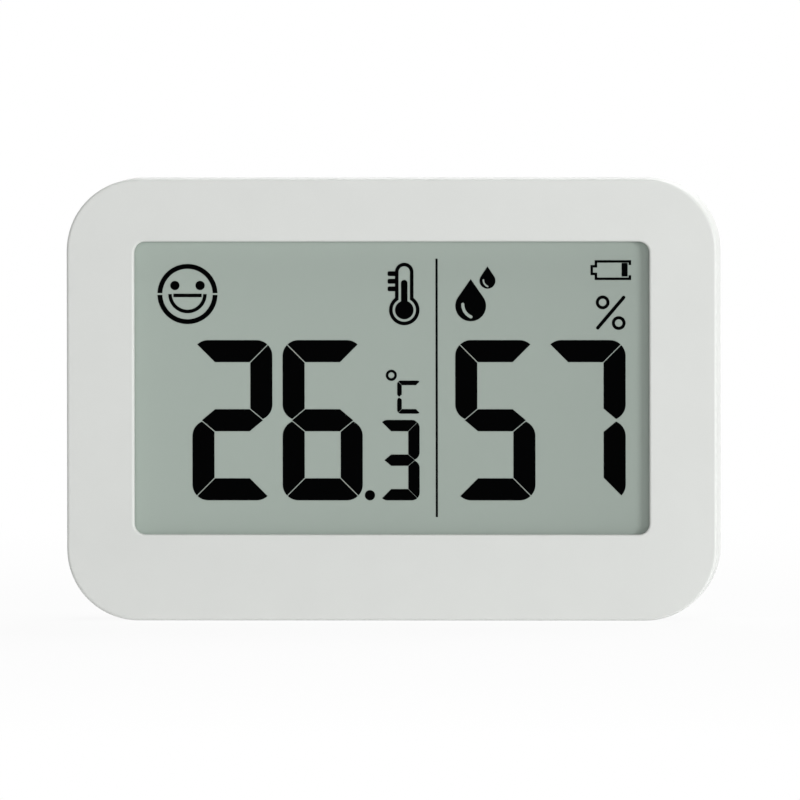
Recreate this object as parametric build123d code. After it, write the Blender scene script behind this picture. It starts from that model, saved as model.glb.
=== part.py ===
from build123d import *
from math import cos, radians, sin, sqrt
import os

# Indoor temperature and humidity sensor: a slim rectangular case with a wide segment display.
#
# Two moulded covers close on a tongued seam with four screws. The display is a liquid crystal cell
# behind a window in the front cover, and it stands on a rubber contact strip on the main board. The
# back holds a coin cell under a twist-lock cover, a U-shaped stand that folds flush, a keyhole for
# a wall screw, one push button and the vents of the humidity sensor.
#
# Each piece is drawn with the case lying on its back: x runs to the right, y up the face from the
# base, and z from the back face to the front face. stand_up then turns it upright, with +Z up, the
# display facing -Y and the origin under the middle of the base. Sizes are in millimetres.
#
# The case is laid out from what it holds: its width and height from the battery cover, the stand,
# the keyhole and the bays beside them, and its depth from the stack of cover, cell, board and
# display.

overrun = 1.0

# Case walls
side_wall = 1.6
front_wall = 1.2
back_wall = 1.6
case_corner_radius = 7.7
front_edge_radius = 0.3
back_edge_radius = 1.5
seam_rise = 0.6
seam_chamfer = 0.15
tongue_height = 1.1
tongue_thickness = 0.7
tongue_clearance = 0.1

# Window and display
window_corner_radius = 1.2
window_edge_radius = 0.25
gasket_thickness = 0.2
gasket_setback = 0.2
film_thickness = 0.2
film_overlap = 0.7
glass_thickness = 0.7
glass_overlap = 0.85
contact_ledge = 2.5
strip_clearance = 0.15
strip_length = 50.0
rib_thickness = 0.7
rib_clearance = 0.15
display_side_gap = 3.95
frame_height = 1.9
frame_bar = 1.4
frame_corner_radius = 0.7

# Main board and its screws
board_thickness = 1.0
board_edge_clearance = 0.3
board_side_clearance = 0.8
board_screw_spacing = 28.0
board_screw_shank_radius = 0.7
board_screw_head_radius = 1.35
board_screw_head_height = 0.9
board_screw_grip = 3.3
board_hole_clearance = 0.15
board_boss_radius = 1.6
boss_wall_gap = 0.6
boss_rib_overlap = 0.37
thread_clearance = 0.02
pilot_spare_depth = 0.2

# Case screws
case_screw_edge = 3.4
case_screw_shank_radius = 0.8
case_screw_head_radius = 1.5
case_screw_head_height = 1.1
case_screw_seat = 2.6
case_screw_grip = 3.2
case_boss_radius = 2.0
seat_boss_radius = 2.6
seat_boss_floor = 1.4
head_clearance = 0.2
shank_clearance = 0.15
boss_board_clearance = 0.3
recess_span_share = 0.62
recess_width_share = 0.2
recess_depth_share = 0.55
head_bevel_share = 0.4
screw_point_share = 0.5

# Coin cell and its well
cell_radius = 10.0
cell_thickness = 3.2
cell_cap_setback = 1.2
cell_cap_rise = 0.2
cell_edge_radius = 0.3
cell_clearance = 0.2
collar_board_gap = 0.2
collar_wall = 0.6
well_wall = 1.2
collar_floor = 1.0

# Battery cover
cover_plate = 1.4
cover_plate_overlap = 0.5
cover_plate_clearance = 0.15
cover_seat_gap = 0.1
cover_edge_radius = 0.25
skirt_cell_clearance = 0.35
skirt_thickness = 0.85
skirt_clearance = 0.2
skirt_tip = 0.2
shoulder_thickness = 0.9
lug_reach = 1.2
lug_thickness = 0.9
lug_clearance = 0.1
lug_count = 3
lug_angle = 24.0
lug_play_angle = 2.5
lug_heading = 90.0
unlock_angle = 45.0
press_rib_height = 0.9
press_rib_width = 1.0
press_rib_setback = 1.5
press_clearance = 0.1
coin_slot_width = 1.8
coin_slot_length = 14.0
coin_slot_depth = 0.85
coin_pad_setback = 1.8
coin_pad_height = 0.5
mark_radius = 0.45
mark_depth = 0.25
cover_mark_inset = 1.5
case_mark_offset = 1.3
mark_heading = 0.0

# Battery contacts
contact_height = 0.8
contact_sheet = 0.2
contact_bend_radius = 0.3
negative_width = 4.0
negative_half_length = 4.5
negative_foot = 1.3
positive_width = 3.6
positive_foot = 2.4
positive_rim_margin = 0.15
positive_lead = 0.35
contact_window_angle = 28.0
contact_window_floor = 0.5
contact_heading = 180.0

# Stand
stand_bottom = 2.6
stand_bar_height = 3.8
stand_leg_width = 4.0
stand_thickness = 2.4
stand_setback = 0.1
stand_outer_corner_radius = 4.2
stand_inner_corner_radius = 2.1
stand_edge_radius = 0.4
stand_clearance = 0.25
stand_floor_gap = 0.2
stand_floor = 1.1
stand_cover_gap = 2.95
pivot_rise = 13.0
pin_radius = 0.75
pin_length = 1.1
pin_root = 2.0
pin_clearance = 0.06
pin_end_clearance = 0.06
pivot_boss_width = 2.6
pivot_boss_half_height = 2.4
heel_reach = 1.9
heel_stop_gap = 0.1
nail_notch_half_width = 6.0
nail_notch_depth = 1.3
nail_notch_corner_radius = 0.6

# Layout of the back
bar_cover_gap = 1.55
cover_keyhole_gap = 1.35
bay_width = 10.55

# Keyhole
keyhole_head_radius = 3.4
keyhole_neck_radius = 1.9
keyhole_rise = 3.5
pocket_margin = 0.9
pocket_depth = 2.8
pocket_wall = 0.8

# Push button and its switch
button_y = 16.5
button_radius = 2.45
button_clearance = 0.15
button_setback = 0.05
button_edge_radius = 0.3
button_flange_radius = 3.3
button_flange_thickness = 0.8
button_flange_gap = 0.1
button_stem_radius = 1.2
button_travel = 0.3
dish_radius = 4.3
dish_depth = 0.5
switch_size = 4.6
switch_body_height = 1.7
switch_total_height = 2.5
switch_floor = 0.3
switch_plunger_radius = 1.1
switch_bore_clearance = 0.1
switch_leg_width = 0.6
switch_leg_length = 0.8
switch_leg_thickness = 0.15
switch_leg_spacing = 3.0

# Vents and sensor
vent_y = 16.5
vent_count = 6
vent_pitch = 2.6
vent_length = 6.8
vent_width = 1.1
sensor_size = 2.6
sensor_height = 0.9
sensor_port_radius = 0.6
sensor_port_depth = 0.4
isolation_slot_width = 0.9
isolation_slot_reach = 3.4

# Other parts on the board
radio_width = 9.0
radio_length = 14.0
radio_board_thickness = 0.8
radio_corner_gap = 0.7
shield_length = 9.6
shield_margin = 0.6
shield_height = 1.4
shield_sheet = 0.2
shield_corner_radius = 0.5
controller_size = 7.0
controller_height = 1.3
controller_standoff = 0.1
controller_chamfer = 0.15
controller_corner_gap = 3.0
lead_count = 9
lead_pitch = 0.65
lead_width = 0.28
lead_reach = 0.8
lead_root = 0.3
lead_thickness = 0.2
crystal_gap = 2.2
crystal_width = 3.2
crystal_length = 1.5
crystal_height = 0.8
crystal_corner_radius = 0.3
capacitor_count = 5
capacitor_pitch = 2.2
capacitor_width = 0.9
capacitor_length = 1.7
capacitor_height = 0.7
capacitor_bay_offset = 8.5
capacitor_top_gap = 6.3

# Heights of the stack, from the back face forward
cell_back = cover_plate + press_rib_height + press_clearance
cell_front = cell_back + cell_thickness
board_back = cell_front + contact_height
board_front = board_back + board_thickness
frame_top = board_front + frame_height
reflector_top = frame_top + film_thickness
rear_glass_top = reflector_top + glass_thickness
glass_top = rear_glass_top + glass_thickness
film_top = glass_top + film_thickness
front_inside = film_top + gasket_thickness
case_depth = front_inside + front_wall
seam_height = board_back + seam_rise

# Coin cell, its cover and its well
cell_cap_radius = cell_radius - cell_cap_setback
press_rib_radius = cell_radius - press_rib_setback
coin_pad_radius = cell_radius - coin_pad_setback
skirt_inner_radius = cell_radius + skirt_cell_clearance
skirt_outer_radius = skirt_inner_radius + skirt_thickness
lug_radius = skirt_outer_radius + lug_reach
cover_plate_radius = lug_radius + cover_plate_overlap
throat_radius = skirt_outer_radius + skirt_clearance
track_radius = lug_radius + skirt_clearance
cover_recess_radius = cover_plate_radius + cover_plate_clearance
collar_radius = cover_recess_radius + collar_wall
well_radius = cell_radius + cell_clearance
cover_seat = cover_plate + cover_seat_gap
lug_back = cover_seat + shoulder_thickness + lug_clearance
lug_front = lug_back + lug_thickness
skirt_end = lug_front + skirt_tip
track_end = skirt_end + skirt_clearance
notch_angle = lug_angle + 2 * lug_play_angle

# Width and height of the case, and what stands where
stand_inner_half_width = cover_recess_radius + stand_cover_gap
stand_outer_half_width = stand_inner_half_width + stand_leg_width
pivot_boss_reach = stand_outer_half_width + stand_clearance + pivot_boss_width
battery_height = stand_bottom + stand_bar_height + bar_cover_gap + cover_recess_radius
pivot_height = battery_height + pivot_rise
keyhole_height = battery_height + cover_recess_radius + cover_keyhole_gap + keyhole_head_radius
keyhole_top = keyhole_height + keyhole_rise + keyhole_neck_radius
case_width = 2 * (pivot_boss_reach + bay_width + side_wall)
case_height = keyhole_top + pocket_margin + pocket_wall + side_wall

stand_front = stand_setback + stand_thickness
stand_recess_floor = stand_front + stand_floor_gap
pivot_depth = stand_setback + stand_thickness / 2
heel_sweep = sqrt(heel_reach**2 + (stand_thickness / 2) ** 2)
heel_stop_distance = stand_recess_floor - pivot_depth - heel_stop_gap

board_half_width = case_width / 2 - side_wall - board_side_clearance
board_low_edge = side_wall + board_edge_clearance
board_high_edge = case_height - board_low_edge
bay_middle = (pivot_boss_reach + board_half_width) / 2
board_screw_setback = side_wall + boss_wall_gap + board_boss_radius
board_screw_places = [
    (side * board_screw_spacing / 2, y)
    for side in (-1, 1)
    for y in (board_screw_setback, case_height - board_screw_setback)
]
case_screw_inset = case_corner_radius - (case_corner_radius - case_screw_edge) / sqrt(2)
case_screw_places = [
    (side * (case_width / 2 - case_screw_inset), y)
    for side in (-1, 1)
    for y in (case_screw_inset, case_height - case_screw_inset)
]
board_notch = case_screw_inset + case_boss_radius + boss_board_clearance

# Display edges
rib_setback = board_screw_setback + board_boss_radius - boss_rib_overlap
glass_setback = rib_setback + rib_thickness + rib_clearance
glass_low_edge = glass_setback
glass_high_edge = case_height - glass_setback
rear_glass_low_edge = glass_low_edge + contact_ledge
window_bottom = rear_glass_low_edge + glass_overlap
window_top = glass_high_edge - glass_overlap
glass_half_width = case_width / 2 - side_wall - display_side_gap - rib_thickness - rib_clearance
window_half_width = glass_half_width - glass_overlap


def slab(outline, low, high):
    """A flat outline pulled from height low to height high."""
    return extrude(Pos(0, 0, low) * outline, amount=high - low)


def post(x, y, radius, low, high):
    """An upright cylinder at x, y."""
    return slab(Pos(x, y) * Circle(radius), low, high)


def brick(x, y, width, length, low, high):
    """An upright block centred on x, y."""
    return slab(Pos(x, y) * Rectangle(width, length), low, high)


def band(left, right, bottom, top, radius=0):
    """A flat rectangle between four edges, with rounded corners where radius is given."""
    width = right - left
    height = top - bottom
    shape = RectangleRounded(width, height, radius) if radius else Rectangle(width, height)
    return Pos((left + right) / 2, (bottom + top) / 2) * shape


def case_outline(inset):
    """The case's front outline, moved inward by inset all round."""
    half_width = case_width / 2 - inset
    return band(-half_width, half_width, inset, case_height - inset, case_corner_radius - inset)


def window_outline(margin, radius=0):
    """The display window's outline, moved outward by margin all round."""
    half_width = window_half_width + margin
    return band(-half_width, half_width, window_bottom - margin, window_top + margin, radius)


def ring_sector(inner_radius, outer_radius, heading, angle):
    """A piece of a flat ring round the battery's axis, angle degrees wide about heading."""
    start = heading - angle / 2
    outer = CenterArc((0, 0), outer_radius, start, angle)
    inner = CenterArc((0, 0), inner_radius, start, angle)
    ends = [Line(outer @ 0, inner @ 0), Line(outer @ 1, inner @ 1)]
    return Pos(0, battery_height) * make_face([outer, inner, *ends])


def make_screws(places, seat, shank_radius, shank_length, head_radius, head_height):
    """Pan-head cross-recess screws that enter from the back and whose heads rest on seat."""
    screws = Part()
    recess_back = seat - head_height - overrun
    recess_end = seat - head_height + recess_depth_share * head_height
    recess_span = 2 * recess_span_share * head_radius
    recess_width = 2 * recess_width_share * head_radius
    for x, y in places:
        head = post(x, y, head_radius, seat - head_height, seat)
        head = chamfer(head.edges().sort_by(Axis.Z)[0], head_bevel_share * head_height)
        head -= brick(x, y, recess_span, recess_width, recess_back, recess_end)
        head -= brick(x, y, recess_width, recess_span, recess_back, recess_end)
        shank = post(x, y, shank_radius, seat, seat + shank_length)
        shank = chamfer(shank.edges().sort_by(Axis.Z)[-1], screw_point_share * shank_radius)
        screws += head + shank
    return screws


def make_front_cover():
    """The front moulding: bezel with the display window, locating rib and screw bosses."""
    shell = slab(case_outline(0), seam_height, case_depth)
    shell = fillet(shell.faces().sort_by(Axis.Z)[-1].edges(), front_edge_radius)
    shell = chamfer(shell.faces().sort_by(Axis.Z)[0].edges(), seam_chamfer)
    shell -= slab(case_outline(side_wall), seam_height - overrun, front_inside)

    inside = Part()
    for x, y in case_screw_places:
        inside += post(x, y, case_boss_radius, seam_height, front_inside)
    for x, y in board_screw_places:
        inside += post(x, y, board_boss_radius, board_front, front_inside)
    pocket_half_width = glass_half_width + rib_clearance
    pocket_low = glass_low_edge - rib_clearance
    pocket_high = glass_high_edge + rib_clearance
    rib_outline = band(
        -pocket_half_width - rib_thickness,
        pocket_half_width + rib_thickness,
        pocket_low - rib_thickness,
        pocket_high + rib_thickness,
    )
    pocket_outline = band(-pocket_half_width, pocket_half_width, pocket_low, pocket_high)
    inside += slab(rib_outline, reflector_top, front_inside)
    inside -= slab(pocket_outline, seam_height, front_inside)
    shell += inside

    groove_inset = side_wall - tongue_thickness - tongue_clearance
    groove = case_outline(groove_inset) - case_outline(side_wall + tongue_clearance)
    shell -= slab(groove, seam_height - overrun, seam_height + tongue_height + tongue_clearance)
    case_pilot_end = seam_height + case_screw_grip + pilot_spare_depth
    for x, y in case_screw_places:
        radius = case_screw_shank_radius + thread_clearance
        shell -= post(x, y, radius, seam_height - overrun, case_pilot_end)
    board_pilot_end = board_front + board_screw_grip + pilot_spare_depth
    for x, y in board_screw_places:
        radius = board_screw_shank_radius + thread_clearance
        shell -= post(x, y, radius, board_front - overrun, board_pilot_end)

    shell -= slab(window_outline(0, window_corner_radius), front_inside, case_depth)
    window_edge = shell.faces().sort_by(Axis.Z)[-1].inner_wires()[0].edges()
    return fillet(window_edge, window_edge_radius)


def stand_outline(margin, top):
    """The stand's U, moved outward by margin, with its open end at top."""
    outer_half = stand_outer_half_width + margin
    inner_half = stand_inner_half_width - margin
    bar_top = stand_bottom + stand_bar_height + margin
    outer = band(-outer_half, outer_half, stand_bottom - margin, top)
    outer = fillet(outer.vertices().group_by(Axis.Y)[0], stand_outer_corner_radius + margin)
    inner = band(-inner_half, inner_half, bar_top, top + overrun)
    inner = fillet(inner.vertices().group_by(Axis.Y)[0], stand_inner_corner_radius - margin)
    return outer - inner


def keyhole_outline():
    """A round entry for a screw's head, with a narrower slot for its shank above."""
    entry = Pos(0, keyhole_height) * Circle(keyhole_head_radius)
    neck_end_height = keyhole_height + keyhole_rise
    neck = band(-keyhole_neck_radius, keyhole_neck_radius, keyhole_height, neck_end_height)
    return entry + neck + Pos(0, neck_end_height) * Circle(keyhole_neck_radius)


def mark_place(radius, turn):
    """Where a lock mark lies, once it is turned by turn degrees round the battery cover."""
    heading = radians(mark_heading + turn)
    return radius * cos(heading), battery_height + radius * sin(heading)


def add_screw_seats(shell, cavity):
    """Adds the tubes of the case screws, with sunk seats for their heads."""
    for x, y in case_screw_places:
        shell += post(x, y, seat_boss_radius, back_wall, case_screw_seat + seat_boss_floor) & cavity
        shell += post(x, y, case_boss_radius, back_wall, seam_height) & cavity
    for x, y in case_screw_places:
        shell -= post(x, y, case_screw_head_radius + head_clearance, -overrun, case_screw_seat)
        shell -= post(x, y, case_screw_shank_radius + shank_clearance, 0, seam_height + overrun)
    return shell


def add_stand_recess(shell, cavity):
    """Adds the recess that the stand folds into, its pin holes and a notch for a fingernail."""
    recess_top = pivot_height + heel_sweep + stand_clearance
    pad_outline = stand_outline(stand_clearance + stand_floor, recess_top + stand_floor)
    pad_front = stand_recess_floor + stand_floor
    pad = slab(pad_outline, back_wall, pad_front)
    for side in (-1, 1):
        boss_x = side * (pivot_boss_reach - pivot_boss_width / 2)
        boss_length = 2 * pivot_boss_half_height
        pad += brick(boss_x, pivot_height, pivot_boss_width, boss_length, back_wall, pad_front)
    shell += pad & cavity
    shell -= slab(stand_outline(stand_clearance, recess_top), -overrun, stand_recess_floor)

    hole_half_length = stand_outer_half_width + pin_length + pin_end_clearance
    holes = Rot(0, 90, 0) * Cylinder(pin_radius + pin_clearance, 2 * hole_half_length)
    holes -= Box(2 * stand_outer_half_width, case_height, case_depth)
    shell -= Pos(0, pivot_height, pivot_depth) * holes
    notch_outline = band(
        -nail_notch_half_width, nail_notch_half_width, -overrun, stand_bottom, nail_notch_corner_radius
    )
    return shell - slab(notch_outline, -overrun, nail_notch_depth)


def add_battery_well(shell):
    """Adds the collar that holds the coin cell, with a track for the lugs of the battery cover."""
    collar_front = board_back - collar_board_gap
    shell += post(0, battery_height, collar_radius, 0, track_end + collar_floor)
    shell += post(0, battery_height, well_radius + well_wall, 0, collar_front)
    shell -= post(0, battery_height, cover_recess_radius, -overrun, cover_seat)
    shell -= post(0, battery_height, throat_radius, -overrun, track_end)
    shell -= post(0, battery_height, well_radius, -overrun, collar_front + overrun)
    for lug in range(lug_count):
        locked = lug_heading + lug * 360 / lug_count
        notch = ring_sector(well_radius, track_radius, locked - unlock_angle, notch_angle)
        shell -= slab(notch, -overrun, track_end)
        track_middle = locked - unlock_angle / 2
        track = ring_sector(well_radius, track_radius, track_middle, unlock_angle + notch_angle)
        shell -= slab(track, lug_back - lug_clearance, track_end)
    window = ring_sector(cell_cap_radius, collar_radius, contact_heading, contact_window_angle)
    return shell - slab(window, track_end + contact_window_floor, collar_front + overrun)


def add_keyhole(shell, cavity):
    """Adds the keyhole, with a closed pocket behind it that the head of a wall screw slides in."""
    half_width = keyhole_head_radius + pocket_margin
    low = keyhole_height - half_width
    high = keyhole_top + pocket_margin
    front = back_wall + pocket_depth
    box = band(-half_width - pocket_wall, half_width + pocket_wall, low - pocket_wall, high + pocket_wall)
    shell += slab(box, back_wall, front + pocket_wall) & cavity
    shell -= slab(band(-half_width, half_width, low, high, pocket_margin), back_wall, front)
    return shell - slab(keyhole_outline(), -overrun, back_wall)


def make_back_cover():
    """The back moulding: tongued shell with battery well, stand recess, keyhole, vents and bosses."""
    shell = slab(case_outline(0), 0, seam_height)
    shell = fillet(shell.faces().sort_by(Axis.Z)[0].edges(), back_edge_radius)
    shell = chamfer(shell.faces().sort_by(Axis.Z)[-1].edges(), seam_chamfer)
    tongue_end = seam_height + tongue_height
    tongue = case_outline(side_wall - tongue_thickness)
    shell += slab(tongue, seam_height - tongue_height, tongue_end)
    cavity = slab(case_outline(side_wall), back_wall, tongue_end)
    shell -= cavity

    shell = add_screw_seats(shell, cavity)
    shell = add_stand_recess(shell, cavity)
    shell = add_battery_well(shell)
    shell = add_keyhole(shell, cavity)

    for row in range(vent_count):
        y = vent_y + (row - (vent_count - 1) / 2) * vent_pitch
        vent = Pos(-bay_middle, y) * SlotOverall(vent_length, vent_width)
        shell -= slab(vent, -overrun, back_wall + overrun)
    ball_radius = (dish_radius**2 + dish_depth**2) / (2 * dish_depth)
    shell -= Pos(bay_middle, button_y, dish_depth - ball_radius) * Sphere(ball_radius)
    hole_radius = button_radius + button_clearance
    shell -= post(bay_middle, button_y, hole_radius, -overrun, back_wall + overrun)
    for turn in (0, -unlock_angle):
        x, y = mark_place(cover_recess_radius + case_mark_offset, turn)
        shell -= post(x, y, mark_radius, -overrun, mark_depth)
    return shell


def make_battery_cover():
    """The round twist-lock cover: plate, skirt with lugs, coin slot and ribs that press the cell."""
    cover = post(0, battery_height, cover_plate_radius, 0, cover_plate)
    cover = fillet(cover.edges().sort_by(Axis.Z)[0], cover_edge_radius)
    skirt = Circle(skirt_outer_radius) - Circle(skirt_inner_radius)
    cover += slab(Pos(0, battery_height) * skirt, cover_plate, skirt_end)
    for lug in range(lug_count):
        heading = lug_heading + lug * 360 / lug_count
        cover += slab(ring_sector(skirt_inner_radius, lug_radius, heading, lug_angle), lug_back, lug_front)
    rib_end = cover_plate + press_rib_height
    cover += post(0, battery_height, coin_pad_radius, cover_plate, cover_plate + coin_pad_height)
    cover += brick(0, battery_height, 2 * press_rib_radius, press_rib_width, cover_plate, rib_end)
    cover += brick(0, battery_height, press_rib_width, 2 * press_rib_radius, cover_plate, rib_end)
    coin_radius = ((coin_slot_length / 2) ** 2 + coin_slot_depth**2) / (2 * coin_slot_depth)
    coin = Rot(90, 0, 0) * Cylinder(coin_radius, coin_slot_width)
    cover -= Pos(0, battery_height, coin_slot_depth - coin_radius) * coin
    x, y = mark_place(cover_plate_radius - cover_mark_inset, 0)
    return cover - post(x, y, mark_radius, -overrun, mark_depth)


def make_coin_cell():
    """The lithium coin cell, its can facing the back and its smaller cap facing the board."""
    can_front = cell_front - cell_cap_rise
    can = post(0, battery_height, cell_radius, cell_back, can_front)
    can = fillet(can.edges().group_by(Axis.Z)[0] + can.edges().group_by(Axis.Z)[-1], cell_edge_radius)
    return can + post(0, battery_height, cell_cap_radius, can_front, cell_front)


def make_spring_strip(points, width):
    """A bent strip of sheet metal, from its centreline in x and height above the board."""
    line = FilletPolyline(*[(x, -height) for x, height in points], radius=contact_bend_radius)
    return extrude(Plane.XZ * trace(line, contact_sheet), amount=width / 2, both=True)


def make_negative_contact():
    """A bridge soldered at both feet, whose raised middle touches the cap of the cell."""
    low = contact_sheet / 2
    top = contact_height - low
    end = negative_half_length
    foot = end - negative_foot
    crest = foot - (top - low)
    points = [(-end, low), (-foot, low), (-crest, top), (crest, top), (foot, low), (end, low)]
    return Pos(0, battery_height, board_back) * make_spring_strip(points, negative_width)


def make_positive_contact():
    """A soldered clip that leans on the side of the can, just behind its front rim."""
    low = contact_sheet / 2
    crest_height = contact_height + cell_cap_rise + cell_edge_radius + positive_rim_margin
    crest = cell_radius + low - contact_bend_radius * (sqrt(2) - 1)
    heel = crest + crest_height - low
    points = [
        (heel + positive_foot, low),
        (heel, low),
        (crest, crest_height),
        (crest + positive_lead, crest_height + positive_lead),
    ]
    clip = make_spring_strip(points, positive_width)
    return Pos(0, battery_height, board_back) * Rot(0, 0, contact_heading) * clip


def make_stand():
    """The U-shaped stand, with a pin on each leg and a bevelled heel that stops it when open."""
    stand = slab(stand_outline(0, pivot_height + heel_reach), stand_setback, stand_front)
    heel_bevel = heel_reach + stand_thickness / 2 - sqrt(2) * heel_stop_distance
    top_edges = stand.edges().filter_by(Axis.X).group_by(Axis.Y)[-1]
    stand = chamfer(top_edges.group_by(Axis.Z)[-1], heel_bevel)
    stand = fillet(stand.faces().sort_by(Axis.Z)[0].edges(), stand_edge_radius)
    pins = Rot(0, 90, 0) * Cylinder(pin_radius, 2 * (stand_outer_half_width + pin_length))
    pins -= Box(2 * (stand_outer_half_width - pin_root), case_height, case_depth)
    return stand + Pos(0, pivot_height, pivot_depth) * pins


def make_main_board():
    """The main circuit board, notched for the case bosses and slotted round the sensor."""
    outline = band(-board_half_width, board_half_width, board_low_edge, board_high_edge)
    for side in (-1, 1):
        for end in (0, 1):
            corner = Pos(side * case_width / 2, end * case_height)
            outline -= corner * Rectangle(2 * board_notch, 2 * board_notch)
    for x, y in board_screw_places:
        outline -= Pos(x, y) * Circle(board_screw_shank_radius + board_hole_clearance)
    slot = SlotOverall(2 * isolation_slot_reach, isolation_slot_width)
    outline -= Pos(-bay_middle, vent_y + isolation_slot_reach) * slot
    outline -= Pos(-bay_middle, vent_y - isolation_slot_reach) * slot
    outline -= Pos(isolation_slot_reach - bay_middle, vent_y) * Rot(0, 0, 90) * slot
    return slab(outline, board_back, board_front)


def make_display_frame():
    """The moulded frame that carries the display off the board, with a bar across its middle."""
    low = rear_glass_low_edge
    high = glass_high_edge
    middle = (low + high) / 2
    frame = slab(band(-glass_half_width, glass_half_width, low, high), board_front, frame_top)
    side = glass_half_width - frame_bar
    bar_half = frame_bar / 2
    lower = band(-side, side, low + frame_bar, middle - bar_half, frame_corner_radius)
    upper = band(-side, side, middle + bar_half, high - frame_bar, frame_corner_radius)
    return frame - slab(lower, board_front, frame_top) - slab(upper, board_front, frame_top)


def make_contact_strip():
    """The rubber strip that carries the segment signals from the board up to the front glass."""
    half_length = strip_length / 2
    low = glass_low_edge + strip_clearance
    high = rear_glass_low_edge - strip_clearance
    return slab(band(-half_length, half_length, low, high), board_front, rear_glass_top)


def make_controller_chip():
    """The microcontroller that drives the display: a flat package with leads on four sides."""
    body_back = board_back - controller_standoff - controller_height
    body_front = board_back - controller_standoff
    chip = brick(0, 0, controller_size, controller_size, body_back, body_front)
    chip = chamfer(chip.faces().sort_by(Axis.Z)[0].edges(), controller_chamfer)
    lead_middle = (controller_size + lead_reach - lead_root) / 2
    leads = Part()
    for lead in range(lead_count):
        y = (lead - (lead_count - 1) / 2) * lead_pitch
        lead_length = lead_reach + lead_root
        leads += brick(lead_middle, y, lead_length, lead_width, board_back - lead_thickness, board_back)
    for quarter in range(4):
        chip += Rot(0, 0, 90 * quarter) * leads
    return Pos(bay_middle, controller_y) * chip


def make_capacitors():
    """A row of chip capacitors."""
    row = Part()
    row_x = bay_middle - capacitor_bay_offset
    y = case_height - capacitor_top_gap
    for place in range(capacitor_count):
        x = row_x + (place - (capacitor_count - 1) / 2) * capacitor_pitch
        low = board_back - capacitor_height
        row += brick(x, y, capacitor_width, capacitor_length, low, board_back)
    return row


def make_crystal():
    """The timing crystal in its metal can, below the controller."""
    y = controller_y - controller_size / 2 - lead_reach - crystal_gap
    can = brick(bay_middle, y, crystal_width, crystal_length, board_back - crystal_height, board_back)
    return fillet(can.edges().filter_by(Axis.Z), crystal_corner_radius)


def make_humidity_sensor():
    """The combined temperature and humidity sensor, open through a round port."""
    back = board_back - sensor_height
    body = brick(-bay_middle, vent_y, sensor_size, sensor_size, back, board_back)
    return body - post(-bay_middle, vent_y, sensor_port_radius, back, back + sensor_port_depth)


def make_radio_board():
    """The small board of the radio module, which lies flat on the main board."""
    back = board_back - radio_board_thickness
    return brick(-bay_middle, radio_y, radio_width, radio_length, back, board_back)


def make_radio_shield():
    """The pressed metal can over the radio module's chips, which leaves the antenna end clear."""
    front = board_back - radio_board_thickness
    back = front - shield_height
    width = radio_width - 2 * shield_margin
    y = radio_y - (radio_length - shield_length) / 2 + shield_margin
    can = brick(-bay_middle, y, width, shield_length, back, front)
    can = fillet(can.edges().filter_by(Axis.Z), shield_corner_radius)
    inside_width = width - 2 * shield_sheet
    inside_length = shield_length - 2 * shield_sheet
    return can - brick(-bay_middle, y, inside_width, inside_length, back + shield_sheet, front)


def make_tact_switch():
    """The body of the push switch, bored for its plunger, with four soldered legs."""
    back = board_back - switch_body_height
    bore_radius = switch_plunger_radius + switch_bore_clearance
    body = brick(bay_middle, button_y, switch_size, switch_size, back, board_back)
    body -= post(bay_middle, button_y, bore_radius, back, board_back - switch_floor)
    for side in (-1, 1):
        for end in (-1, 1):
            x = bay_middle + side * (switch_size + switch_leg_length) / 2
            y = button_y + end * switch_leg_spacing / 2
            leg_back = board_back - switch_leg_thickness
            body += brick(x, y, switch_leg_length, switch_leg_width, leg_back, board_back)
    return body


def make_switch_plunger():
    """The plunger of the push switch, which the button's stem rests on."""
    front = board_back - switch_floor - button_travel - switch_bore_clearance
    back = board_back - switch_total_height
    return post(bay_middle, button_y, switch_plunger_radius, back, front)


def make_push_button():
    """The push button: a cap in the back wall, a flange that keeps it in and a stem to the switch."""
    flange_back = back_wall + button_flange_gap
    flange_front = flange_back + button_flange_thickness
    cap = post(bay_middle, button_y, button_radius, button_setback, flange_back)
    cap = fillet(cap.edges().sort_by(Axis.Z)[0], button_edge_radius)
    flange = post(bay_middle, button_y, button_flange_radius, flange_back, flange_front)
    stem_front = board_back - switch_total_height
    return cap + flange + post(bay_middle, button_y, button_stem_radius, flange_front, stem_front)


def stand_up(piece):
    """Turns a piece from lying on the case's back to standing upright on the case's base."""
    return Pos(0, case_depth / 2, 0) * Rot(90, 0, 0) * piece


bay_top = case_height - board_notch
radio_y = bay_top - radio_corner_gap - radio_length / 2
controller_y = bay_top - controller_corner_gap - lead_reach - controller_size / 2
rear_glass_outline = band(-glass_half_width, glass_half_width, rear_glass_low_edge, glass_high_edge)
front_glass_outline = band(-glass_half_width, glass_half_width, glass_low_edge, glass_high_edge)
gasket_outline = window_outline(film_overlap) - window_outline(gasket_setback, window_corner_radius)

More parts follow.
